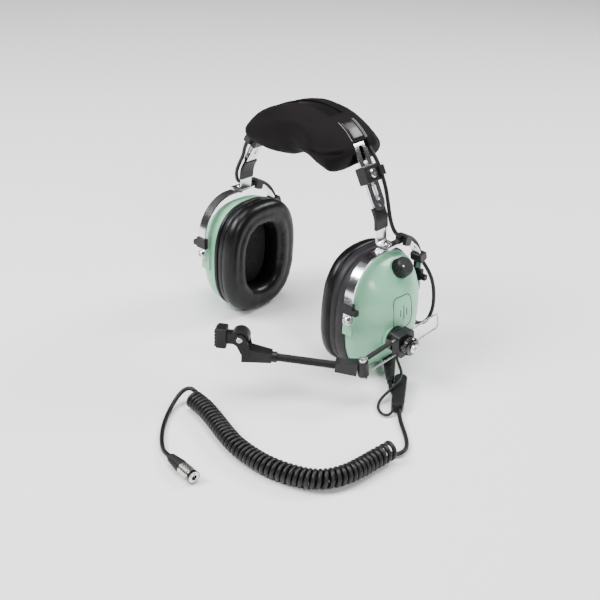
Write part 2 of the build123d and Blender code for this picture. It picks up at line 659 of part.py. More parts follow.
def flex_block():
    """Black block between the wires' eyelets, tapering to the flexible tube."""
    plane = hinge_plane()
    way = Vector(*FLEX_START) - plane.origin
    near = Plane(origin=plane.origin + way * 0.2, x_dir=plane.y_dir, z_dir=way) * Rectangle(8.6, 11.6)
    far = Plane(origin=FLEX_START, x_dir=plane.y_dir, z_dir=way) * Rectangle(8.0, 8.4)
    block = plane * Cylinder(4.5, 12.8) + loft([near, far])
    return block - plane * Cylinder(1.5, 14)


def flex_screws():
    """Two pan screws, top and bottom, through the eyelets into the block."""
    plane = hinge_plane()
    screws = []
    for side in (-1, 1):
        way = plane.z_dir * side
        shank = rod(plane.origin + way * 1.0, way, 1.5, 7.2)
        screws.append(shank + pan_head(plane.origin + way * 8.2, way, 3.3, 1.7))
    return screws


def gooseneck():
    """Ribbed flexible tube."""
    way = Vector(*FLEX_END) - Vector(*FLEX_START)
    return spun(FLEX_START, way, ribbed(0.0, way.length, (2.9, 2.9), (3.25, 3.25), 26))


# ---- microphone ----
def mic_plane(at, rise):
    """A plane square to the boom's end, this far past the flexible tube and this much higher."""
    x, y, z = along(FLEX_END, MIC_WAY, at)
    return Plane(origin=(x, y, z + rise), x_dir=(0.571, -0.821, 0), z_dir=MIC_WAY)


def mic_side():
    """Unit vector along the microphone's tilt axis."""
    return (-0.571, 0.821, 0.0)


def fork_plane(side):
    """A plane on one side of the microphone's hub: x past the boom, y up."""
    y_up = Vector(0, 0, 1)
    x_way = Vector(*MIC_WAY)
    return Plane(origin=along(MIC_PIVOT, mic_side(), side * 5.9), x_dir=x_way, z_dir=x_way.cross(y_up))


def mic_bracket():
    """Black wedge from the flexible tube to a fork either side of the microphone's hub."""
    collar = rod(FLEX_END, MIC_WAY, 4.4, 5.0)
    wedge = loft([mic_plane(4.0, 0.4) * Rectangle(8.0, 8.4), mic_plane(27.5, 2.0) * Rectangle(13.4, 12.0)])
    bracket = collar + wedge
    for side in (-1, 1):
        cheek = fork_plane(side) * Polyline((-9, -13.5), (-1.6, -13.5), (4.2, -2), (2.6, 4), (-2.6, 4), (-6, 0),
                                            close=True)
        bracket += extrude(make_face(cheek), amount=0.8, both=True)
        bracket -= rod(along(MIC_PIVOT, mic_side(), side * 4.5), along((0, 0, 0), mic_side(), side), 1.5, 4.0)
    return bracket


def mic_pivot_screws():
    """Two small screws in the fork that the microphone tilts on."""
    screws = []
    for side in (-1, 1):
        way = along((0, 0, 0), mic_side(), side)
        shank = rod(along(MIC_PIVOT, way, 2.6), way, 1.5, 4.1)
        screws.append(shank + pan_head(along(MIC_PIVOT, way, 6.7), way, 2.4, 1.2))
    return screws


def mic_hub():
    """Round hub of the microphone with its neck."""
    hub = rod(along(MIC_PIVOT, mic_side(), -4.9), mic_side(), 7.3, 9.8)
    plane = fork_plane(0)
    neck = plane * Pos(7.0, -1.5, 0) * Box(8.0, 9.0, 7.6)
    return hub + neck - rod(along(MIC_PIVOT, mic_side(), -6), mic_side(), 1.55, 12.0)


def mic_head():
    """Ribbed microphone case, hollow for the capsule, with sound slots in its end."""
    plane = fork_plane(0) * Pos(15.0, -1.5, 0)
    case = fillet((plane * Box(8.6, 17.0, 12.4)).edges(), 1.4)
    for i in range(5):
        case += plane * Pos(3.6, -6.0 + 3.0 * i, 0) * Box(3.2, 1.5, 11.4)
        case -= plane * Pos(5.3, -4.5 + 3.0 * i, 0) * Box(4.0, 1.0, 7.6)
    return case - plane * Rot(0, 90, 0) * Cylinder(4.6, 5.0)


def mic_capsule():
    """Microphone capsule inside the case."""
    return fork_plane(0) * Pos(15.0, -1.5, 0) * Rot(0, 90, 0) * Cylinder(4.6, 5.0)


# ---- leads, junction block, coiled cord and plug ----
def strain_relief():
    """Rubber sleeve where the main lead leaves the dome."""
    start = Vector(*RELIEF[0])
    way = Vector(*RELIEF[1]) - start
    outline = [(-4.0, 5.5), (8.5, 5.5)] + ribbed(8.5, 31.5, (4.7, 2.9), (5.3, 3.4), 9) + [(way.length, 2.8)]
    return spun(RELIEF[0], way, outline)


def junction_block():
    """Black block where the three leads meet: rounded at one end, chamfered at the other."""
    start = Vector(*JUNCTION[0])
    way = Vector(*JUNCTION[1]) - start
    plane = Plane(origin=start, x_dir=way, z_dir=(0, 0, 1))
    length = way.length
    half = 5.2
    outline = Polyline((half, half), (length - 5.0, half), (length, 4.2), (length, -4.2), (length - 5.0, -half),
                       (half, -half))
    top = ThreePointArc((half, -half), (0.0, 0.0), (half, half))
    block = extrude(plane * make_face([outline, top]), amount=4.5, both=True)
    block = chamfer(block.edges().group_by(Axis.Z)[-1] + block.edges().group_by(Axis.Z)[0], 0.9)
    seam = plane * Pos(length / 2, 0, 0) * (Box(length + 4, 12, 0.5) - Box(length - 1.0, 9.4, 0.5))
    return block - seam - rod_between(MAIN_LEAD[-1], MAIN_LEAD[-2], CORD_D / 2)


def plug_boot():
    """Ribbed rubber boot on the plug."""
    outline = [(0.0, 2.6)] + ribbed(1.5, 14.5, (3.0, 4.6), (3.5, 5.1), 5) + [(16.5, 4.6)]
    return spun(PLUG_AT, PLUG_WAY, outline)


def plug_shell():
    """Plug body: collar, neck that the sleeve slides on, bore for the contact."""
    shell = spun(PLUG_AT, PLUG_WAY, [(16.5, 4.9), (19.0, 4.9), (19.0, 4.3), (30.0, 4.3)])
    return shell - rod(along(PLUG_AT, PLUG_WAY, 21.0), PLUG_WAY, 3.15, 10.0)


def hollow_rod(start, end, outer, inner):
    """A tube on the plug's axis from start to end."""
    ring = rod(along(PLUG_AT, PLUG_WAY, start), PLUG_WAY, outer, end - start)
    return ring - rod(along(PLUG_AT, PLUG_WAY, start - 1), PLUG_WAY, inner, end - start + 2)


def plug_sleeve():
    """Bright sleeve that slides on the plug's neck."""
    sleeve = hollow_rod(19.2, 25.4, 4.95, 4.35)
    for i in range(4):
        groove = hollow_rod(20.2 + 1.3 * i, 20.7 + 1.3 * i, 6.0, 4.7)
        sleeve -= groove
    return sleeve


# ---- write every piece ----
def write(name, *solids):
    """Write one piece, or a few like pieces in one file."""
    placed = [Pos(*BOX_MIDDLE).inverse() * solid for solid in solids]
    part = placed[0] if len(placed) == 1 else Compound(children=placed)
    export_step(part, f"parts/{name}.step")


os.makedirs("parts", exist_ok=True)

PAIRED = {
    "ear_seal": [ear_seal()],
    "ear_foam": [ear_foam()],
    "baffle_plate": [baffle_plate()],
    "speaker": [speaker()],
    "pivot_screws": pivot_screws(),
    "cable_gland": [cable_gland()],
    "stirrup": [stirrup()],
    "stirrup_clips": pivot_clips() + cable_clips(),
}
TURNED = {
    "strap": [strap()],
    "strap_fittings": [clamp_block(), strap_sleeve()],
    "strap_fasteners": [rivet(), clamp_screw()],
}
gland_hole = rod(along(GLAND_AT, GLAND_WAY, -6.0), GLAND_WAY, 3.0, 12.0)
dome = dome_shell() - gland_hole
write("dome_left", left_dome(dome))
write("dome_right", mirrored(dome))
for name, solids in PAIRED.items():
    write(f"{name}_left", *solids)
    write(f"{name}_right", *[mirrored(solid) for solid in solids])
for name, solids in TURNED.items():
    write(f"{name}_left", *solids)
    write(f"{name}_right", *[turned(solid) for solid in solids])

cup_cable, yoke_cable, band_cable = left_cables()
write("cable_left_cup", cup_cable)
write("cable_left_yoke", yoke_cable)
write("cable_left_band", band_cable)
write("cable_right_cup", mirrored(cup_cable))
write("cable_right_yoke", right_yoke_cable())
write("cable_right_band", turned(band_cable))

write("headband_spring", headband_spring())
write("headband_trim", headband_trim())
write("head_pad", head_pad())
write("volume_pot", volume_pot())
write("dome_nuts", volume_nut(), swivel_nut())
write("volume_knob", volume_knob(), volume_shaft())
write("swivel_base", swivel_base())
write("boom_guide", boom_guide())
write("clamp_knob", clamp_knob())
write("clamp_knob_screw", clamp_knob_screw())
write("boom_wires", boom_wires())
write("lead_sleeve", lead_sleeve())
write("flex_block", flex_block())
write("boom_screws", *flex_screws(), *mic_pivot_screws())
write("gooseneck", gooseneck())
write("mic_bracket", mic_bracket())
write("mic_head", mic_hub() + mic_head())
write("mic_capsule", mic_capsule())
write("strain_relief", strain_relief())
write("junction_block", junction_block())
write("main_lead", tube("main_lead", MAIN_LEAD, CORD_D))
write("mic_lead", tube("mic_lead", MIC_LEAD, MIC_LEAD_D))
write("coil_lead", tube("coil_lead", COIL_LEAD, CORD_D))
write("coil_cord", tube("coil_cord", COIL, COIL_D))
write("tail_cord", tube("tail_cord", TAIL, CORD_D))
write("plug_boot", plug_boot())
write("plug_shell", plug_shell())
write("plug_sleeve", plug_sleeve())
write("plug_ring", hollow_rod(27.6, 30.0, 4.9, 4.3))
write("plug_contact", hollow_rod(21.0, 30.4, 3.15, 2.15))
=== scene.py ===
import math
import random

import bmesh
import bpy
from mathutils import Matrix, Vector, noise


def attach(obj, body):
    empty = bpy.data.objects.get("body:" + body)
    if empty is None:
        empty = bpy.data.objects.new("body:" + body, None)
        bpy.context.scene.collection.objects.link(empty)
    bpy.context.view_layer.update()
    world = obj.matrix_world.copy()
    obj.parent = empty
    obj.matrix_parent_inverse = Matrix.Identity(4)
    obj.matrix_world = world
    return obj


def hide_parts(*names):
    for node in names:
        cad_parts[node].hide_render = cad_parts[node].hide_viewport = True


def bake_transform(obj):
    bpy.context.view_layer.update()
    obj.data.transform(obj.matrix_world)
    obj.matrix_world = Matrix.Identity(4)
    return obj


# Aviation headset, standing on its cups with its cord in front. Metres, but every place
# is written in millimetres from the middle between the cups and passed through at().
BOX_MIDDLE = (10.52, -34.77, -0.09)
CUP_Z = 53.0

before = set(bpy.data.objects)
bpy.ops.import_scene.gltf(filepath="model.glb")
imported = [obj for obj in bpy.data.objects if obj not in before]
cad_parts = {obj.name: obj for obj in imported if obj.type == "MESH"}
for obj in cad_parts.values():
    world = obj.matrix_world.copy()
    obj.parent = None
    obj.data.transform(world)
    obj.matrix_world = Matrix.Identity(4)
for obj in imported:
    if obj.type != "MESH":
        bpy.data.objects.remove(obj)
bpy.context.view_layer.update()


def at(x, y, z):
    """A place in metres in the shared frame, from millimetres between the cups."""
    return Vector((x - BOX_MIDDLE[0], y - BOX_MIDDLE[1], z - BOX_MIDDLE[2])) / 1000


def mm(size):
    """Millimetres as metres."""
    return size / 1000


# ---- camera and light ----
def add_camera():
    """Camera a little above the headset, off its left front corner."""
    azimuth, elevation, roll = math.radians(40.99), math.radians(27.94), math.radians(2.62)
    back = Vector((math.sin(azimuth) * math.cos(elevation), -math.cos(azimuth) * math.cos(elevation),
                   math.sin(elevation)))
    level = Vector((math.cos(azimuth), math.sin(azimuth), 0))
    rise = back.cross(level)
    right = level * math.cos(roll) + rise * math.sin(roll)
    up = rise * math.cos(roll) - level * math.sin(roll)
    data = bpy.data.cameras.new("camera")
    data.lens = 58.01
    data.sensor_width = 36.0
    data.clip_start = 0.01
    camera = bpy.data.objects.new("camera", data)
    camera.matrix_world = Matrix((right, up, back)).transposed().to_4x4()
    camera.matrix_world.translation = at(497.8, -580.0, 434.0)
    bpy.context.scene.collection.objects.link(camera)
    bpy.context.scene.camera = camera


def add_area_light(name, place, aim, size, power, colour=(1, 1, 1)):
    """A square soft light at a place, turned to its aim."""
    data = bpy.data.lights.new(name, "AREA")
    data.size = size
    data.energy = power
    data.color = colour
    lamp = bpy.data.objects.new(name, data)
    lamp.location = place
    lamp.rotation_euler = (Vector(aim) - Vector(place)).to_track_quat("-Z", "Y").to_euler()
    bpy.context.scene.collection.objects.link(lamp)


def add_studio():
    """Pale floor, dim surroundings and four soft lights."""
    bpy.ops.mesh.primitive_plane_add(size=30, location=(0, 0, -0.0004))
    floor = bpy.context.object
    floor.name = "floor"
    mat = bpy.data.materials.new("floor")
    mat.use_nodes = True
    shader = mat.node_tree.nodes["Principled BSDF"]
    shader.inputs["Base Color"].default_value = (0.93, 0.93, 0.93, 1)
    shader.inputs["Roughness"].default_value = 0.85
    floor.data.materials.append(mat)
    add_world()
    aim = (0, 0, 0.08)
    add_area_light("key", (-0.7, -1.1, 1.5), aim, 0.8, 52)
    add_area_light("fill", (1.5, -0.6, 1.1), aim, 0.4, 16)
    add_area_light("rim", (0.5, 1.3, 1.3), aim, 0.6, 26)
    add_area_light("top", (0.0, 0.0, 1.9), aim, 1.0, 34)


def add_world():
    """Dim studio surroundings, a little paler overhead, so that metal and black keep their contrast."""
    world = bpy.data.worlds.new("studio")
    world.use_nodes = True
    tree = world.node_tree
    place = tree.nodes.new("ShaderNodeTexCoord")
    split = tree.nodes.new("ShaderNodeSeparateXYZ")
    tree.links.new(place.outputs["Generated"], split.inputs[0])
    ramp = tree.nodes.new("ShaderNodeValToRGB")
    tree.links.new(split.outputs["Z"], ramp.inputs["Fac"])
    tones = ((0.0, 0.20), (0.25, 0.10), (0.6, 0.12), (1.0, 0.5))
    while len(ramp.color_ramp.elements) < len(tones):
        ramp.color_ramp.elements.new(0.5)
    for element, (height, tone) in zip(ramp.color_ramp.elements, tones):
        element.position = height
        element.color = (tone, tone, tone, 1)
    tree.links.new(ramp.outputs["Color"], tree.nodes["Background"].inputs["Color"])
    tree.nodes["Background"].inputs["Strength"].default_value = 0.6
    bpy.context.scene.world = world


# ---- materials ----
class Paint:
    """A node material being built: keeps the tree, the shader and a mapped position."""

    def __init__(self, name):
        self.material = bpy.data.materials.new(name)
        self.material.use_nodes = True
        self.tree = self.material.node_tree
        self.shader = self.tree.nodes["Principled BSDF"]
        self.position = self.tree.nodes.new("ShaderNodeTexCoord").outputs["Object"]
        self.bumps = None

    def set(self, **values):
        """Uniform values on the shader's own sockets."""
        for name, value in values.items():
            self.shader.inputs[name.replace("_", " ")].default_value = value

    def node(self, kind, **inputs):
        """A node with some inputs set or linked."""
        made = self.tree.nodes.new(kind)
        for name, value in inputs.items():
            socket = made.inputs[name.replace("_", " ")]
            if isinstance(value, bpy.types.NodeSocket):
                self.tree.links.new(value, socket)
            else:
                socket.default_value = value
        return made

    def stretched(self, scale):
        """The position stretched along its axes."""
        mapping = self.node("ShaderNodeMapping", Vector=self.position)
        mapping.inputs["Scale"].default_value = scale
        return mapping.outputs["Vector"]

    def noise(self, scale, detail=3.0, rough=0.5, position=None):
        """Noise of this many features per metre."""
        made = self.node("ShaderNodeTexNoise", Vector=position or self.position, Scale=scale, Detail=detail,
                         Roughness=rough)
        return made.outputs["Fac"]

    def ramp(self, factor, stops):
        """Colours along a factor, as (place, colour) pairs."""
        made = self.node("ShaderNodeValToRGB", Fac=factor)
        ramp = made.color_ramp
        while len(ramp.elements) < len(stops):
            ramp.elements.new(0.5)
        for element, (place, colour) in zip(ramp.elements, stops):
            element.position = place
            element.color = (*colour, 1)
        return made.outputs["Color"]

    def span(self, factor, low, high):
        """A factor stretched to run from low to high."""
        made = self.node("ShaderNodeMapRange", Value=factor)
        made.inputs["To Min"].default_value = low
        made.inputs["To Max"].default_value = high
        return made.outputs["Result"]

    def colour(self, output):
        """Link the base colour."""
        self.tree.links.new(output, self.shader.inputs["Base Color"])

    def roughness(self, output):
        """Link the roughness."""
        self.tree.links.new(output, self.shader.inputs["Roughness"])

    def bump(self, height, strength, depth):
        """Add a layer of bump, this many millimetres deep."""
        made = self.node("ShaderNodeBump", Height=height, Strength=strength, Distance=mm(depth))
        if self.bumps:
            self.tree.links.new(self.bumps, made.inputs["Normal"])
        self.bumps = made.outputs["Normal"]
        self.tree.links.new(self.bumps, self.shader.inputs["Normal"])


def mottled(paint, colour, spread, scale):
    """Colour that varies a little in soft patches."""
    dark = [c * (1 - spread) for c in colour]
    light = [min(1, c * (1 + spread)) for c in colour]
    paint.colour(paint.ramp(paint.noise(scale, 4.0, 0.6), [(0.3, dark), (0.7, light)]))


def moulded_plastic(name, colour, rough, grain=0.6, coat=0.0):
    """Injection-moulded plastic: fine spark grain, soft mottling, handling marks."""
    paint = Paint(name)
    mottled(paint, colour, 0.14, 90)
    marks = paint.noise(600, 5.0, 0.7, paint.stretched((1, 1, 0.25)))
    paint.roughness(paint.span(marks, rough - 0.09, rough + 0.12))
    paint.bump(paint.noise(2600, 2.0), 0.25 * grain, 0.12)
    paint.bump(paint.noise(45, 2.0), 0.12, 0.3)
    paint.set(Specular_IOR_Level=0.35)
    if coat:
        paint.set(Coat_Weight=coat, Coat_Roughness=0.1)
    return paint.material


def dome_plastic():
    """Sage-green satin shell: slight orange peel, faint flow marks and scuffs."""
    paint = Paint("sage_green_shell")
    base = paint.noise(24, 5.0, 0.6)
    paint.colour(paint.ramp(base, [(0.25, (0.200, 0.478, 0.310)), (0.5, (0.222, 0.515, 0.335)),
                                   (0.8, (0.246, 0.548, 0.361))]))
    scuffs = paint.noise(260, 6.0, 0.75, paint.stretched((1, 0.3, 1.6)))
    paint.roughness(paint.span(scuffs, 0.26, 0.46))
    paint.bump(paint.noise(700, 2.0), 0.16, 0.10)
    paint.bump(paint.noise(60, 2.0), 0.10, 0.3)
    paint.set(Coat_Weight=0.35, Coat_Roughness=0.16)
    return paint.material


def plated_steel(name, colour, rough, brush=(1, 1, 1)):
    """Bright plated metal with fine drawn lines and smudges."""
    paint = Paint(name)
    paint.set(Metallic=1.0)
    mottled(paint, colour, 0.07, 130)
    lines = paint.noise(500, 4.0, 0.7, paint.stretched(brush))
    paint.roughness(paint.span(lines, rough * 0.6, rough * 1.7))
    paint.bump(lines, 0.06, 0.05)
    return paint.material


def rubber(name, colour, rough):
    """Rubber or cord jacket: dull, slightly dusty."""
    paint = Paint(name)
    mottled(paint, colour, 0.22, 160)
    paint.roughness(paint.span(paint.noise(420, 5.0, 0.7), rough - 0.1, rough + 0.14))
    paint.bump(paint.noise(1800, 2.0), 0.18, 0.1)
    paint.set(Specular_IOR_Level=0.35)
    return paint.material


def vinyl(name, colour, rough, grain):
    """Black leather-look vinyl: pebbled grain, fine creases, soft sheen."""
    paint = Paint(name)
    mottled(paint, colour, 0.25, 70)
    cells = paint.node("ShaderNodeTexVoronoi", Vector=paint.position, Scale=900.0)
    cells.feature = "DISTANCE_TO_EDGE"
    paint.bump(cells.outputs["Distance"], 0.16 * grain, 0.12)
    creases = paint.noise(95, 3.0, 0.5, paint.stretched((1, 1, 0.6)))
    paint.bump(creases, 0.12 * grain, 0.3)
    paint.roughness(paint.span(paint.noise(200, 5.0, 0.7), rough - 0.07, rough + 0.1))
    paint.set(Specular_IOR_Level=0.26)
    return paint.material


def pad_cloth():
    """Knitted stretch cover of the head pad: fine ribs, dusty light flecks, soft sheen."""
    paint = Paint("pad_cover")
    fleck = paint.noise(3200, 2.0, 0.6)
    soft = paint.noise(55, 5.0, 0.6)
    both = paint.node("ShaderNodeMath")
    both.operation = "MULTIPLY"
    paint.tree.links.new(fleck, both.inputs[0])
    paint.tree.links.new(soft, both.inputs[1])
    tones = [(0.12, (0.0030, 0.0025, 0.0029)), (0.36, (0.0085, 0.0064, 0.0076))]
    paint.colour(paint.ramp(both.outputs["Value"], tones))
    weave = paint.node("ShaderNodeTexVoronoi", Vector=paint.position, Scale=1700.0)
    paint.bump(weave.outputs["Distance"], 0.35, 0.2)
    paint.bump(soft, 0.35, 1.2)
    paint.roughness(paint.span(soft, 0.62, 0.85))
    paint.set(Sheen_Weight=0.01, Sheen_Roughness=0.4, Specular_IOR_Level=0.09)
    return paint.material


def foam():
    """Open-cell foam."""
    paint = Paint("ear_foam")
    cells = paint.node("ShaderNodeTexVoronoi", Vector=paint.position, Scale=1300.0)
    tones = [(0.1, (0.002, 0.002, 0.002)), (0.6, (0.010, 0.009, 0.010))]
    paint.colour(paint.ramp(cells.outputs["Distance"], tones))
    paint.bump(cells.outputs["Distance"], 0.9, 0.6)
    paint.roughness(paint.span(paint.noise(500), 0.85, 0.98))
    return paint.material


def white_mark():
    """White, patchy in tone."""
    paint = Paint("white_mark")
    tones = [(0.3, (0.62, 0.62, 0.6)), (0.6, (0.8, 0.8, 0.78))]
    paint.colour(paint.ramp(paint.noise(900, 4.0, 0.7), tones))
    paint.roughness(paint.span(paint.noise(700), 0.4, 0.6))
    return paint.material


BLACK = (0.0060, 0.0056, 0.0064)
SHINY_BLACK = (0.0042, 0.0040, 0.0046)
MATERIALS = {
    "green": dome_plastic(),
    "black": moulded_plastic("black_plastic", BLACK, 0.42),
    "gloss": moulded_plastic("gloss_black", SHINY_BLACK, 0.2, 0.2, 0.6),
    "chrome": plated_steel("bright_steel", (0.78, 0.78, 0.8), 0.13, (1, 1, 0.12)),
    "band": plated_steel("spring_steel", (0.72, 0.72, 0.74), 0.18, (0.15, 1, 0.15)),
    "screw": plated_steel("plated_screw", (0.7, 0.7, 0.7), 0.2),
    "wire": plated_steel("steel_wire", (0.62, 0.62, 0.63), 0.24),
    "silver": plated_steel("nickel_plate", (0.68, 0.67, 0.64), 0.22),
    "rubber": rubber("black_rubber", BLACK, 0.52),
    "jacket": rubber("cord_jacket", SHINY_BLACK, 0.4),
    "vinyl": vinyl("seal_vinyl", SHINY_BLACK, 0.33, 0.4),
    "label": moulded_plastic("label_film", (0.0075, 0.0068, 0.0075), 0.3, 0.3),
    # Paler black for the left seal's rear tier is painted light; the right cup's same tier is in black seal
    # vinyl as painted shade
    "lip": vinyl("seal_lip_painted_light", (0.017, 0.015, 0.018), 0.48, 0.4),
    "cover": pad_cloth(),
    "foam": foam(),
    "dark": moulded_plastic("inner_plastic", (0.009, 0.009, 0.009), 0.6),
    "white": white_mark(),
    # Pale grey for the painted highlight lines along the label's glossy edges
    "edge_highlight": rubber("pale_edge_highlight", (0.3, 0.29, 0.3), 0.6),
    "ink": rubber("dark_ink", (0.01, 0.03, 0.018), 0.5),
}
NODE_MATERIALS = {
    "green": ["dome_left", "dome_right"],
    "gloss": ["headband_trim", "plug_ring", "clamp_knob", "swivel_base"],
    "chrome": ["stirrup_left", "stirrup_right", "strap_left", "strap_right"],
    "band": ["headband_spring"],
    "screw": ["pivot_screws_left", "pivot_screws_right", "strap_fasteners_left", "strap_fasteners_right",
              "clamp_knob_screw", "boom_screws", "dome_nuts", "volume_pot"],
    "wire": ["boom_wires"],
    "silver": ["plug_shell", "plug_sleeve", "plug_contact", "mic_capsule"],
    "rubber": ["cable_gland_left", "cable_gland_right", "lead_sleeve", "gooseneck", "strain_relief",
               "plug_boot"],
    "dark": ["speaker_left", "speaker_right", "baffle_plate_left", "baffle_plate_right"],
    "black": ["stirrup_clips_left", "stirrup_clips_right", "strap_fittings_left", "strap_fittings_right",
              "volume_knob", "boom_guide", "flex_block", "mic_bracket", "mic_head", "junction_block"],
}


def paint_nodes():
    """Give every CAD node that stays its material."""
    for key, names in NODE_MATERIALS.items():
        for name in names:
            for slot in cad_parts[name].material_slots:
                slot.material = MATERIALS[key]


# ---- mesh helpers ----
def add_object(name, data, material):
    """An object in the scene with one material."""
    made = bpy.data.objects.new(name, data)
    bpy.context.scene.collection.objects.link(made)
    if material:
        data.materials.append(MATERIALS[material])
    return made


def add_mesh(name, points, faces, material):
    """A smooth mesh from points and faces."""
    data = bpy.data.meshes.new(name)
    data.from_pydata([tuple(p) for p in points], [], faces)
    data.update()
    data.shade_smooth()
    return add_object(name, data, material)


def stand_in(piece, body, *nodes):
    """A piece that rides on a body and stands for CAD nodes."""
    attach(piece, body)
    if nodes:
        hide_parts(*nodes)
    return piece


# ---- cords ----
CORD_D = 3.6
MIC_LEAD_D = 2.4
COIL_WIRE_D = 3.5
COIL_R = 5.85
COIL_PITCH = 4.3
HELIX_STEPS = 14
# how much wider the helix is drawn out at both ends, and over the first loose turns
END_OPENING = 14.0
LOOSE_OPENING = 0.5
LOOSE_TURNS = 2.2

# it runs through the strain relief first
MAIN_LEAD = ((95.6, 1.0, 11.2), (116.0, -22.9, 5.3), (119.6, -27.6, 4.7), (124.0, -31.5, 4.7),
             (129.0, -34.5, 4.7))
MIC_LEAD = ((111.7, -13.0, 28.8), (112.9, -12.8, 23.0), (115.6, -12.4, 17.6), (119.5, -13.9, 14.0),
            (123.4, -19.0, 13.0), (126.6, -28.0, 12.4), (125.6, -36.4, 8.8), (123.6, -43.0, 4.4),
            (124.8, -50.0, 1.8), (129.8, -56.4, 1.6), (136.4, -59.4, 1.6), (140.6, -57.4, 1.9),
            (141.2, -53.4, 3.2), (139.65, -49.6, 4.4))
COIL = ((174.9, -89.5, 7.9), (172.4, -116.5, 7.9), (170.7, -137.8, 7.9), (165.4, -154.2, 7.9),
        (156.7, -164.3, 7.9), (143.3, -171.0, 7.9), (126.1, -175.8, 7.9), (109.9, -176.7, 7.9),
        (91.0, -175.4, 7.9), (72.5, -169.8, 7.9), (54.2, -163.1, 7.9), (34.2, -157.0, 7.9),
        (20.5, -156.3, 7.9))
COIL_LEAD = ((143.3, -47.1, 4.2), (148.5, -53.5, 3.0), (156.0, -60.4, 2.0), (164.5, -67.6, 1.9),
             (172.0, -75.0, 1.9), (177.0, -82.4, 2.2), (178.7, -89.9, 3.3))
TAIL = ((20.5, -152.1, 12.1), (16.6, -152.6, 12.7), (13.2, -155.2, 11.4), (11.4, -159.6, 8.0),
        (12.2, -165.2, 4.6), (15.6, -173.2, 2.3), (22.6, -183.8, 1.9), (31.8, -195.0, 1.9),
        (41.4, -204.1, 1.9), (50.6, -210.8, 2.6), (57.6, -214.4, 4.4), (64.4, -215.7, 5.3))


def nurbs(name, points, diameter, material="jacket", smooth=12):
    """A round cord as one NURBS curve with these control points."""
    data = bpy.data.curves.new(name, "CURVE")
    data.dimensions = "3D"
    spline = data.splines.new("NURBS")
    spline.points.add(len(points) - 1)
    for point, place in zip(spline.points, points):
        point.co = (*place, 1)
    spline.order_u = 3
    spline.use_endpoint_u = True
    spline.resolution_u = smooth
    data.bevel_depth = mm(diameter) / 2
    data.bevel_resolution = 5
    data.use_fill_caps = True
    return add_object(name, data, material)


def line_of(route):
    """Points along the smooth line of a route."""
    curve = nurbs("route", [at(*p) for p in route], 0)
    mesh = bpy.data.meshes.new_from_object(curve)
    line = [v.co.copy() for v in mesh.vertices]
    bpy.data.objects.remove(curve)
    bpy.data.meshes.remove(mesh)
    return line


def length_of(line):
    """Length along a line of points."""
    return sum((b - a).length for a, b in zip(line, line[1:]))


def place_on(line, distance):
    """The place and the direction at this distance along a line of points."""
    for a, b in zip(line, line[1:]):
        step = (b - a).length
        if distance <= step or b is line[-1]:
            return a.lerp(b, distance / step), (b - a).normalized()
        distance -= step
    raise ValueError("the line is empty")


def helix_points():
    """The curly part of the cord, turn by turn along the coil's line."""
    line = line_of(COIL)
    total = length_of(line)
    start_at, end_at = at(*COIL_LEAD[-1]), at(*TAIL[0])
    angles = []
    for place, distance in ((start_at, 0), (end_at, total)):
        middle, way = place_on(line, distance)
        side = way.cross(Vector((0, 0, 1)))
        offset = place - middle
        angles.append(math.atan2(offset.z, offset.dot(side)))
    turns = round(total / mm(COIL_PITCH)) + (angles[1] - angles[0]) / (2 * math.pi)
    wobble = random.Random(7)
    count = int(turns * HELIX_STEPS)
    gaps = []
    for i in range(count):
        opened = END_OPENING * (math.exp(-i) + math.exp(i - count))
        loosened = LOOSE_OPENING * math.exp(-i / HELIX_STEPS / LOOSE_TURNS)
        gaps.append(1.0 + opened + loosened + 0.06 * math.sin(i / 23))
    whole = sum(gaps)
    points = []
    along = 0.0
    loose = 0.0
    for i in range(count + 1):
        middle, way = place_on(line, min(total, along / whole * total))
        side = way.cross(Vector((0, 0, 1))).normalized()
        up = side.cross(way)
        angle = angles[0] + 2 * math.pi * turns * i / count
        loose += (wobble.uniform(-1, 1) - loose) * 0.15
        reach = mm(COIL_R * (1 + 0.015 * loose))
        points.append(middle + side * (reach * math.cos(angle)) + up * (reach * math.sin(angle)))
        along += gaps[min(i, count - 1)]
    return points


def add_cords():
    """The lead from the cup, the microphone's lead, and the curly cord with its plug."""
    lead = nurbs("main_lead_cord", [at(*p) for p in MAIN_LEAD], CORD_D)
    stand_in(lead, "left_cup", "main_lead")
    mic = nurbs("mic_lead_cord", [at(*p) for p in MIC_LEAD], MIC_LEAD_D)
    stand_in(mic, "left_cup", "mic_lead")
    route = [at(*p) for p in COIL_LEAD[:-1]] + helix_points() + [at(*p) for p in TAIL[1:]]
    curly = nurbs("curly_cord", route, COIL_WIRE_D, smooth=4)
    stand_in(curly, "left_cup", "coil_cord", "coil_lead", "tail_cord")


# ---- ear seals ----
OVAL_POWER = 2.6
SEAL_FACE = 50.3
SEAL_STEPS = 176
# from the dome side round the outside to the head side and back inside: how deep, half width, half height
SEAL_PROFILE = (
    (20.0, 25.0, 35.0), (20.0, 41.4, 50.2), (19.4, 42.0, 50.8), (16.5, 42.6, 51.4),
    (13.9, 42.5, 51.3), (13.2, 41.9, 50.7), (12.7, 41.8, 50.6), (12.3, 43.0, 51.9),
    (11.0, 43.8, 52.7), (8.0, 44.0, 52.95), (4.9, 43.2, 52.2), (2.6, 41.3, 50.4),
    (1.2, 38.8, 47.9), (0.7, 36.2, 45.4), (0.9, 33.8, 43.2), (0.95, 32.4, 41.9),
    (0.6, 30.8, 40.4), (0.3, 28.6, 38.4), (0.7, 26.2, 36.1), (1.9, 23.9, 33.8),
    (3.8, 22.0, 32.0), (7.0, 20.9, 30.9), (12.0, 20.5, 30.5), (19.6, 20.9, 30.9),
)
LIP_ROWS = (1, 6)


def oval_point(angle, half_width, half_height):
    """A point of the superellipse, at this angle round it."""
    wide = abs(math.cos(angle) / half_width) ** OVAL_POWER
    tall = abs(math.sin(angle) / half_height) ** OVAL_POWER
    reach = (wide + tall) ** (-1 / OVAL_POWER)
    return reach * math.cos(angle), reach * math.sin(angle)


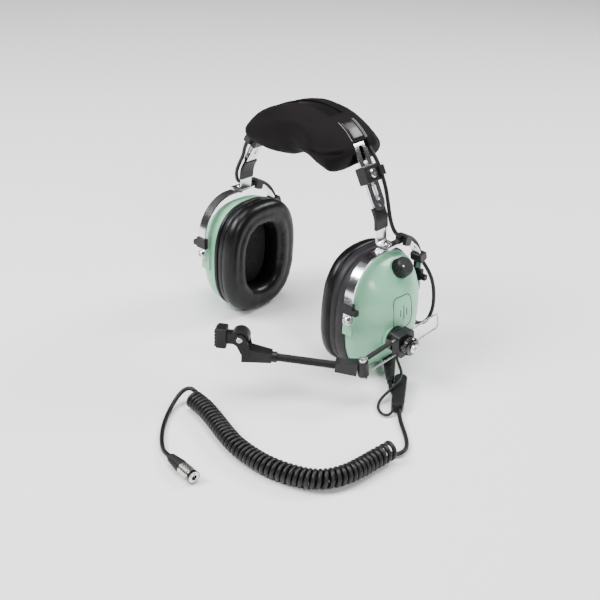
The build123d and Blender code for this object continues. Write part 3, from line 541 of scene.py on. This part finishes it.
def seal_point(side, row, step):
    """A point of the seal's skin, with soft puckers where the skin turns inward."""
    depth, half_width, half_height = SEAL_PROFILE[row]
    angle = 2 * math.pi * step / SEAL_STEPS
    y, z = oval_point(angle, half_width, half_height)
    soft = 1.0 if 8 < row < 22 else 0.25
    spot = Vector((math.cos(angle) * 3, math.sin(angle) * 3, depth * 0.05 + side * 7))
    ripple = noise.noise(spot * 1.6) * 0.28 + noise.noise(spot * 5.0) * 0.05
    pucker = math.sin(angle * 31 + 3 * noise.noise(spot)) * (0.06 if 17 < row < 22 else 0.0)
    depth += soft * (ripple + pucker)
    shrink = 1 - soft * 0.004 * (1 + noise.noise(spot * 4.0))
    return at(side * (SEAL_FACE + max(depth, 0.15)), y * shrink, CUP_Z + z * shrink)


def add_seal(side, name, body):
    """Two-tier vinyl ear seal."""
    points = [seal_point(side, row, step) for row in range(len(SEAL_PROFILE)) for step in range(SEAL_STEPS)]
    faces = []
    for row in range(len(SEAL_PROFILE)):
        after = (row + 1) % len(SEAL_PROFILE)
        for step in range(SEAL_STEPS):
            turn = (step + 1) % SEAL_STEPS
            face = [row * SEAL_STEPS + step, row * SEAL_STEPS + turn, after * SEAL_STEPS + turn,
                    after * SEAL_STEPS + step]
            faces.append(face if side > 0 else face[::-1])
    seal = add_mesh(name, points, faces, "vinyl")
    # Rear-tier rows: paler lip material on the left seal as painted light, black seal vinyl on the right seal
    # as painted shade
    seal.data.materials.append(MATERIALS["lip" if side > 0 else "vinyl"])
    for face in seal.data.polygons:
        if LIP_ROWS[0] <= face.index // SEAL_STEPS < LIP_ROWS[1]:
            face.material_index = 1
    smoother(seal, 1)
    stand_in(seal, body, name.replace("cushion", "seal"))


def smoother(piece, levels):
    """Subdivide a mesh smoothly and keep the result."""
    modifier = piece.modifiers.new("smooth", "SUBSURF")
    modifier.levels = levels
    modifier.render_levels = levels
    keep_modifiers(piece)


def keep_modifiers(piece):
    """Apply every modifier on a mesh object."""
    bpy.context.view_layer.update()
    evaluated = piece.evaluated_get(bpy.context.evaluated_depsgraph_get())
    mesh = bpy.data.meshes.new_from_object(evaluated)
    mesh.shade_smooth()
    piece.modifiers.clear()
    piece.data = mesh


# ---- headband line ----
BAND_TILT = math.radians(29)
BAND_FOOT = (75.0, 139.0)
TOP_R = 75.0
TOP_CENTRE = (0.0, 131.0)
SHOULDER_R = 40.0
SHOULDER_CENTRE = (16.65, 161.8)
TOP_TURN = 28.4


def band_spot(s, outward):
    """X and Z in millimetres beside the band's straight side, s from its foot."""
    x = BAND_FOOT[0] - s * math.sin(BAND_TILT) + outward * math.cos(BAND_TILT)
    z = BAND_FOOT[1] + s * math.cos(BAND_TILT) + outward * math.sin(BAND_TILT)
    return x, z


def arch_spot(turn, outward):
    """X and Z beside the arch, where the band is this many degrees from level; right of middle is below 0."""
    angle = math.radians(abs(turn))
    centre, reach = (TOP_CENTRE, TOP_R) if abs(turn) <= TOP_TURN else (SHOULDER_CENTRE, SHOULDER_R)
    x = centre[0] + (reach + outward) * math.sin(angle)
    return math.copysign(x, turn), centre[1] + (reach + outward) * math.cos(angle)


# ---- head pad ----
PAD_STATIONS = 40
PAD_ROUND = 52
PAD_HALF_W = 35.4
PAD_TURN = 59.0
FLAP_TURN = 49.0
SLIT_TURN = 17.5
SLIT_HALF_W = 8.3
PAD_VOXEL = 3.4
CLOTH_FRAMES = 20
CLOTH_PRESSURE = 3.0
CLOTH_REACH = 1.8
# the pad's underside along X: a lobe near each end and a waist between them
UNDER_FRONT = ((-54, 176.0), (-44, 168.5), (-28, 164.6), (-8, 166.6), (6, 171.6), (18, 170.6), (34, 166.0),
               (47, 164.6), (56, 166.5))
UNDER_REAR = ((-54, 176.0), (-38, 168.0), (-20, 167.0), (0, 170.0), (20, 167.0), (38, 165.0), (56, 167.5))


def along_table(table, x):
    """A smooth value from a short table of (x, value) pairs."""
    if x <= table[0][0]:
        return table[0][1]
    for (x0, v0), (x1, v1) in zip(table, table[1:]):
        if x <= x1:
            t = (x - x0) / (x1 - x0)
            return v0 + (v1 - v0) * t * t * (3 - 2 * t)
    return table[-1][1]


def smoothstep(value, low, high):
    """0 below low, 1 above high, smooth between."""
    t = min(1.0, max(0.0, (value - low) / (high - low)))
    return t * t * (3 - 2 * t)


def hump(value, middle, width):
    """A soft bump, 1 at its middle."""
    return math.exp(-((value - middle) / width) ** 2)


def pad_top(turn, y):
    """How far the cover stands out from the band's line: over the band, on the front and the rear lobe."""
    flap = smoothstep(abs(turn), SLIT_TURN - 3, SLIT_TURN + 5)
    over_band = 2.6 * flap * hump(y, 0, 11)
    front = 3.4 * hump(y, -19, 11) * (0.55 + 0.45 * smoothstep(-turn, -30, 10))
    rear = 2.4 * hump(y, 17, 9) - 3.4 * smoothstep(y, 16, 36)
    return 0.4 + over_band + front + rear


def pad_base():
    """The cushion before it is filled: wrapped on the arch, lobed below and waisted in the middle."""
    points = []
    for i in range(PAD_STATIONS + 1):
        share = -1 + 2 * i / PAD_STATIONS
        turn = PAD_TURN * share
        tip = (1 - abs(share) ** 13) ** 0.5
        x_top, _ = arch_spot(turn, 0.0)
        waist = 1 - 0.06 * hump(x_top, 6, 13)
        half_width = PAD_HALF_W * waist * (0.62 + 0.38 * tip)
        for j in range(PAD_ROUND):
            angle = 2 * math.pi * j / PAD_ROUND
            c, n = math.cos(angle), math.sin(angle)
            y = half_width * math.copysign(abs(c) ** (2 / 2.7), c)
            rise = 0.5 + 0.5 * math.copysign(abs(n) ** (2 / 2.7), n)
            x, z_top = arch_spot(turn, pad_top(turn, y) * min(1.0, 2 * rise))
            front = smoothstep(-y, -24, 24)
            x_low = x_top * 0.93
            front_under, rear_under = along_table(UNDER_FRONT, x_top), along_table(UNDER_REAR, x_top)
            under = front_under * front + rear_under * (1 - front) + 1.5
            middle = z_top + (under - z_top) * 0.5
            low = middle + (under - middle) * (0.45 + 0.55 * tip)
            points.append(at(x_low + (x - x_low) * rise, y, low + (z_top - low) * rise))
    faces = []
    for i in range(PAD_STATIONS):
        for j in range(PAD_ROUND):
            k = (j + 1) % PAD_ROUND
            a, b = i * PAD_ROUND, (i + 1) * PAD_ROUND
            faces.append([a + j, b + j, b + k, a + k])
    faces.append(list(range(PAD_ROUND)))
    faces.append([PAD_STATIONS * PAD_ROUND + j for j in reversed(range(PAD_ROUND))])
    return add_mesh("head_cushion", points, faces, "cover")


def remeshed(piece, voxel):
    """The same surface in even quads."""
    modifier = piece.modifiers.new("even", "REMESH")
    modifier.mode = "VOXEL"
    modifier.voxel_size = voxel
    keep_modifiers(piece)


def fill_with_cloth(piece, pressure, cap):
    """Blow the cover up a little as cloth, moving no point further than the cap."""
    rest = [v.co.copy() for v in piece.data.vertices]
    modifier = piece.modifiers.new("cloth", "CLOTH")
    cloth = modifier.settings
    cloth.quality = 6
    cloth.mass = 0.2
    cloth.tension_stiffness = 12
    cloth.compression_stiffness = 12
    cloth.bending_stiffness = 0.6
    cloth.use_pressure = True
    cloth.uniform_pressure_force = pressure
    cloth.effector_weights.gravity = 0
    for step in range(1, CLOTH_FRAMES + 1):
        bpy.context.scene.frame_set(step)
    keep_modifiers(piece)
    for vertex, start in zip(piece.data.vertices, rest):
        shift = vertex.co - start
        if shift.length > cap:
            vertex.co = start + shift * (cap / shift.length)
    bpy.context.scene.frame_set(1)


def crease_pad(piece):
    """Soft wrinkles, the pulled fold below the label, and a soft ridge up the front."""
    for vertex in piece.data.vertices:
        x, y, z = (vertex.co * 1000 + Vector(BOX_MIDDLE))
        normal = vertex.normal.copy()
        spot = Vector((x, y * 1.4, z)) * 0.045
        dent = noise.noise(spot) * 0.7 + noise.noise(spot * 2.6) * 0.32
        front = smoothstep(-y, 16, 26)
        fold_z = 184.0 + 0.10 * (x - 30) + 0.9 * math.sin(x * 0.11)
        fold = (hump(z, fold_z, 0.9) - 0.75 * hump(z, fold_z + 1.9, 1.3)) * smoothstep(x, 8, 20) * front
        ridge = hump(x + (z - 190) * 0.55, 9, 3.4) * smoothstep(z, 176, 190) * front
        vertex.co += normal * mm(0.55 * dent - 1.15 * fold + 0.5 * ridge)


def arch_strip(name, turns, half_width, low, high):
    """A closed block that follows the arch, to cut with."""
    corners = ((-half_width, low), (half_width, low), (half_width, high), (-half_width, high))
    points = []
    for turn in turns:
        for y, outward in corners:
            x, z = arch_spot(turn, outward)
            points.append(at(x, y, z))
    faces = [[i * 4 + j, i * 4 + (j + 1) % 4, i * 4 + 4 + (j + 1) % 4, i * 4 + 4 + j]
             for i in range(len(turns) - 1) for j in range(4)]
    faces.append([3, 2, 1, 0])
    last = (len(turns) - 1) * 4
    faces.append([last, last + 1, last + 2, last + 3])
    block = add_mesh(name, points, faces, None)
    shape = bmesh.new()
    shape.from_mesh(block.data)
    bmesh.ops.recalc_face_normals(shape, faces=shape.faces)
    shape.to_mesh(block.data)
    shape.free()
    return block


def spread(first, last, count):
    """Evenly spaced numbers from first to last."""
    return [first + (last - first) * i / (count - 1) for i in range(count)]


def strap_room(side):
    """A closed block at one end of the pad, where the strap and its clamp block slide."""
    x, z = band_spot(46.0, -5.2)
    bpy.ops.mesh.primitive_cube_add(size=1)
    block = bpy.context.object
    block.scale = (mm(9.4), mm(21.4), mm(24.0))
    block.rotation_euler = (0, -BAND_TILT * side, 0)
    block.location = at(side * x, 0, z)
    return block


def cut_pad(piece):
    """Slit over the band in the middle, bare band at both ends, and room for the straps."""
    cutters = [arch_strip("slit", spread(-SLIT_TURN, SLIT_TURN, 25), SLIT_HALF_W, -1.2, 12.0)]
    for side in (-1, 1):
        turns = spread(FLAP_TURN * side, 75.0 * side, 12)
        cutters.append(arch_strip("bare_end", turns, SLIT_HALF_W, -0.9, 12.0))
        cutters.append(strap_room(side))
    whole = volume_of(piece)
    for cutter in cutters:
        modifier = piece.modifiers.new("cut", "BOOLEAN")
        modifier.object = cutter
        modifier.operation = "DIFFERENCE"
        modifier.solver = "MANIFOLD"
        keep_modifiers(piece)
        bpy.data.objects.remove(cutter)
    left = volume_of(piece) / whole
    if not 0.8 < left < 1:
        raise ValueError(f"the cuts left {left:.2f} of the cushion")
    piece.data.set_sharp_from_angle(angle=math.radians(50))


def volume_of(piece):
    """Volume inside a closed mesh."""
    shape = bmesh.new()
    shape.from_mesh(piece.data)
    volume = shape.calc_volume()
    shape.free()
    return volume


def add_head_pad():
    """Filled cushion with its cover, made by cloth simulation, then creased and cut."""
    pad = pad_base()
    remeshed(pad, mm(PAD_VOXEL))
    fill_with_cloth(pad, CLOTH_PRESSURE, mm(CLOTH_REACH))
    smoother(pad, 1)
    crease_pad(pad)
    cut_pad(pad)
    stand_in(pad, "headband", "head_pad")
    return pad


def on_pad(pad, turn, y, proud):
    """A place on the pad's cover over the arch, standing proud of it by this many millimetres."""
    x, z = arch_spot(turn, 14.0)
    inner_x, inner_z = arch_spot(turn, 0.0)
    start = at(x, y, z)
    way = (at(inner_x, y, inner_z) - start).normalized()
    hit, place, _, _ = pad.ray_cast(start, way)
    return (place if hit else at(inner_x, y, inner_z)) - way * mm(proud)


def add_label(pad):
    """Blank glossy label on the left flap, with pale lines along its long edges, one in front and two behind:
    painted highlights of its glossy edges.
    """
    turns = spread(25.0, 46.0, 22)
    across = spread(-7.2, 7.2, 13)
    points = [on_pad(pad, turn, y, 0.32 if abs(y) < 7 and 25.5 < turn < 45.5 else -0.3)
              for turn in turns for y in across]
    width = len(across)
    faces = [[i * width + j, (i + 1) * width + j, (i + 1) * width + j + 1, i * width + j + 1]
             for i in range(len(turns) - 1) for j in range(width - 1)]
    plate = add_mesh("label_plate", points, faces, "label")
    stand_in(plate, "headband")
    # Painted highlight lines along the label's long glossy edges
    for name, y in (("label_edge_highlight_front", -8.2), ("label_edge_highlight_rear", 8.0), ("label_edge_highlight_outer", 9.6)):
        places = [on_pad(pad, turn, y, 0.0) for turn in spread(24.5, 47.0, 12)]
        edge_highlight = nurbs(name, places, 0.4, "edge_highlight", smooth=3)
        stand_in(edge_highlight, "headband")


def add_hems(pad):
    """Rolled hem along each flap's edges and both sides of the slit."""
    lines = {}
    across = spread(-SLIT_HALF_W, SLIT_HALF_W, 9)
    for side, word in ((1, "left"), (-1, "right")):
        lines[f"hem_slit_{word}"] = [((SLIT_TURN + 0.9) * side, y) for y in across]
        lines[f"hem_end_{word}"] = [((FLAP_TURN - 0.9) * side, y) for y in across]
    for word, y in (("front", -SLIT_HALF_W - 0.6), ("rear", SLIT_HALF_W + 0.6)):
        lines[f"hem_slit_{word}"] = [(turn, y) for turn in spread(-SLIT_TURN, SLIT_TURN, 16)]
    for name, line in lines.items():
        hem = nurbs(name, [on_pad(pad, turn, y, -0.25) for turn, y in line], 1.3, "cover", smooth=4)
        stand_in(hem, "headband")


# ---- cross-over cable ----
CROSS_D = 3.3
PIVOT_X = 84.7


def bow_point(angle, outward, side=1):
    """A place by the rear shoulder of a stirrup's bow, this far out from it."""
    reach = 34.0 + outward
    turn = math.radians(angle)
    return (side * PIVOT_X, 12 + reach * math.cos(turn), 76 + reach * math.sin(turn))


def beside_band(s, outward, y):
    """A place beside the band's straight left side."""
    x, z = band_spot(s, outward)
    return (x, y, z)


def arch_point(turn, outward, y):
    """A place beside the left half of the arch."""
    x, z = arch_spot(turn, outward)
    return (x, y, z)


RISE = ((90.31, 43.55, 25.84), (92.6, 50.2, 22.8), (94.6, 56.6, 26.0), (95.8, 59.8, 35.0), (96.0, 59.6, 46.0),
        (95.2, 58.2, 57.5), (92.6, 56.0, 68.0), (88.4, 52.6, 77.0))
OVER = tuple(bow_point(a, 4.0) for a in (12.0, 26.0, 41.0, 55.0, 68.0, 82.0))
UP = ((82.6, 13.2, 116.4), (79.4, 10.8, 123.0), (76.4, 10.2, 132.0), (73.6, 10.6, 141.6), (70.4, 11.2, 150.6),
      beside_band(20.0, 2.5, 11.4), beside_band(36.0, 2.5, 11.4))
UNDER = (beside_band(43.5, 1.5, 10.8), arch_point(57.0, -0.2, 10.2), arch_point(48.0, -0.6, 10.1),
         arch_point(39.0, -1.0, 10.1), arch_point(30.0, -1.6, 10.0), arch_point(23.0, -2.7, 9.4),
         arch_point(16.5, -2.8, 7.2), arch_point(10.0, -2.8, 4.4), arch_point(4.0, -2.7, 1.9))
RIGHT_DOWN = ((-69.8, -10.8, 148.8), (-76.0, -9.8, 139.0), (-80.4, -8.9, 129.6), (-81.6, -6.4, 121.6),
              (-83.6, -0.6, 117.6), (-84.7, 8.0, 116.8))


def flipped(places):
    """The same places on the right side."""
    return [(-x, y, z) for x, y, z in places]


def turned(places):
    """The same places after half a turn about the upright."""
    return [(-x, -y, z) for x, y, z in places]


def halfway(a, b):
    """The middle of two places."""
    return tuple((p + q) / 2 for p, q in zip(a, b))


def add_cable(name, route, node):
    """One length of the cable as a mesh, in place of its CAD node."""
    curve = nurbs(name + "_route", [at(*p) for p in route], CROSS_D, smooth=8)
    bpy.context.view_layer.update()
    mesh = bpy.data.meshes.new_from_object(curve)
    mesh.shade_smooth()
    bpy.data.objects.remove(curve)
    cable = bpy.data.objects.new(name, mesh)
    bpy.context.scene.collection.objects.link(cable)
    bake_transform(cable)
    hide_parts(node)


def add_cross_cable():
    """The cable from cup to cup: six lengths, each across one joint."""
    in_clip = halfway(OVER[-2], OVER[-1])
    in_loop = halfway(UP[-2], UP[-1])
    middle = (0.0, 0.0, UNDER[-1][2])
    cup = list(RISE) + list(OVER[:-1]) + [in_clip]
    yoke = [in_clip, OVER[-1]] + list(UP[:-1]) + [in_loop]
    band = [in_loop, UP[-1]] + list(UNDER) + [middle]
    add_cable("cross_cable_left_cup", cup,
              "cable_left_cup")
    add_cable("cross_cable_left_yoke", yoke,
              "cable_left_yoke")
    add_cable("cross_cable_left_band", band,
              "cable_left_band")
    add_cable("cross_cable_right_band", turned(band),
              "cable_right_band")
    down = turned([in_loop, UP[-2]]) + list(RIGHT_DOWN) + flipped([OVER[-1], in_clip])
    add_cable("cross_cable_right_yoke", down,
              "cable_right_yoke")
    add_cable("cross_cable_right_cup", flipped(cup),
              "cable_right_cup")


# ---- small details ----
KNOB_AT = Vector((96.0, 3.0, 93.4))
KNOB_WAY = Vector((0.753, 0.0, 0.658))
KNOB_TOP = 9.04
DOT_R = 0.85
DOT_SIDES = 20
DOME_HALF_W = 41.5
DOME_HALF_H = 49.5
DOME_SHOULDER_X = 84.0
DOME_CROWN = 27.0
SKIRT_X = 69.6
SKIRT_STEPS = 140
FOAM_HALF_W = 24.4
FOAM_HALF_H = 34.4
FOAM_STEPS = 96


def crown_x(y, z):
    """Where the dome's crown is, at this place across it."""
    wide = abs(y / DOME_HALF_W) ** OVAL_POWER
    tall = abs((z - CUP_Z) / DOME_HALF_H) ** OVAL_POWER
    ratio = (wide + tall) ** (1 / OVAL_POWER)
    return DOME_SHOULDER_X + DOME_CROWN * (1 - min(1, ratio) ** 2) ** 0.75


def add_knob_dot():
    """White dot on the volume knob's top face, off its centre toward the front."""
    side = KNOB_WAY.cross(Vector((0, 1, 0))).normalized()
    centre = KNOB_AT + KNOB_WAY * KNOB_TOP + Vector((0, -4.1, 0)) + side * 0.5
    points = [at(*(centre + KNOB_WAY * 0.05))]
    for k in range(DOT_SIDES):
        angle = 2 * math.pi * k / DOT_SIDES
        way = side * math.cos(angle) + Vector((0, 1, 0)) * math.sin(angle)
        points.append(at(*(centre + way * DOT_R)))
    faces = [[0, 1 + k, 1 + (k + 1) % DOT_SIDES] for k in range(DOT_SIDES)]
    dot = add_mesh("volume_knob_dot", points, faces, "white")
    stand_in(dot, "volume_knob")


def add_emblem():
    """A plain rounded frame round three upright bars on the left dome, in thin dark lines."""
    centre_y, centre_z = -5.0, 62.0
    half_w, half_h, squareness = 10.4, 13.6, 5.0
    outline = []
    for k in range(49):
        angle = 2 * math.pi * k / 48
        c, n = math.cos(angle), math.sin(angle)
        y = centre_y + half_w * math.copysign(abs(c) ** (2 / squareness), c)
        z = centre_z + half_h * math.copysign(abs(n) ** (2 / squareness), n)
        outline.append((y, z))
    bars = [[(centre_y + dy, centre_z + dz) for dz in spread(-tall, tall, 4)]
            for dy, tall in ((-3.6, 3.0), (0.0, 6.0), (3.6, 3.0))]
    for number, line in enumerate([outline] + bars):
        places = [at(crown_x(y, z) - 0.02, y, z) for y, z in line]
        stroke = nurbs(f"emblem_line_{number}", places, 0.62, "ink", smooth=3)
        stand_in(stroke, "left_cup")


def add_seal_skirt(side, word, width, material):
    """The seal's rear tier: a collar stretched over the foot of the dome."""
    shares = ((0.0, -0.6), (0.0, 0.9), (0.08, 1.5), (0.45, 1.75), (0.87, 1.6), (0.97, 1.25), (1.0, 0.6),
              (0.96, 0.05), (0.5, 0.05))
    profile = [(SKIRT_X + width * share, out) for share, out in shares]
    steps = SKIRT_STEPS
    points = []
    for x, out in profile:
        for step in range(steps):
            angle = 2 * math.pi * step / steps
            spot = Vector((3 * math.cos(angle), 3 * math.sin(angle), x * 0.3))
            ripple = 0.10 * noise.noise(spot) if out > 0.5 else 0
            y, z = oval_point(angle, DOME_HALF_W + out + ripple, DOME_HALF_H + out + ripple)
            points.append(at(side * x, y, CUP_Z + z))
    faces = []
    for row in range(len(profile)):
        after = (row + 1) % len(profile)
        for step in range(steps):
            turn = (step + 1) % steps
            face = [row * steps + step, row * steps + turn, after * steps + turn, after * steps + step]
            faces.append(face if side > 0 else face[::-1])
    skirt = add_mesh(f"seal_skirt_{word}", points, faces, material)
    smoother(skirt, 1)
    stand_in(skirt, f"{word}_cup")


def add_ear_foam(side, word):
    """Foam pad over the speaker: crowned, with a pinched edge and soft dents."""
    rings = ((71.9, 0.08), (71.8, 0.25), (71.8, 0.45), (71.9, 0.62), (72.1, 0.76), (72.5, 0.87),
             (73.3, 0.955), (74.6, 0.99), (76.2, 0.985), (77.3, 0.96), (77.5, 0.86), (77.5, 0.5), (77.5, 0.08))
    steps = FOAM_STEPS
    points = []
    for x, share in rings:
        for step in range(steps):
            y, z = oval_point(2 * math.pi * step / steps, FOAM_HALF_W * share, FOAM_HALF_H * share)
            dent = 0.5 * noise.noise(Vector((y, z, side * 9)) * 0.16)
            dent += 0.22 * noise.noise(Vector((y, z, 3)) * 0.5)
            points.append(at(side * (x + (dent if x < 74 else 0)), y, CUP_Z + z))
    faces = []
    for row in range(len(rings) - 1):
        for step in range(steps):
            turn = (step + 1) % steps
            after = (row + 1) * steps
            face = [row * steps + step, row * steps + turn, after + turn, after + step]
            faces.append(face if side > 0 else face[::-1])
    front = list(range(steps))
    back = [(len(rings) - 1) * steps + step for step in range(steps)]
    faces += [front[::-1], back] if side > 0 else [front, back[::-1]]
    pad = add_mesh(f"ear_foam_pad_{word}", points, faces, "foam")
    stand_in(pad, f"{word}_cup", f"ear_foam_{word}")


# ---- the scene ----
add_camera()
add_studio()
paint_nodes()
add_cords()
add_seal(1, "ear_cushion_left", "left_cup")
add_seal(-1, "ear_cushion_right", "right_cup")
head_cushion = add_head_pad()
add_label(head_cushion)
add_hems(head_cushion)
add_cross_cable()
add_knob_dot()
add_emblem()
# Rear-tier collars: paler lip material on the left as painted light, black seal vinyl on the right as painted
# shade
add_seal_skirt(1, "left", 10.4, "lip")
add_seal_skirt(-1, "right", 3.6, "vinyl")
add_ear_foam(1, "left")
add_ear_foam(-1, "right")
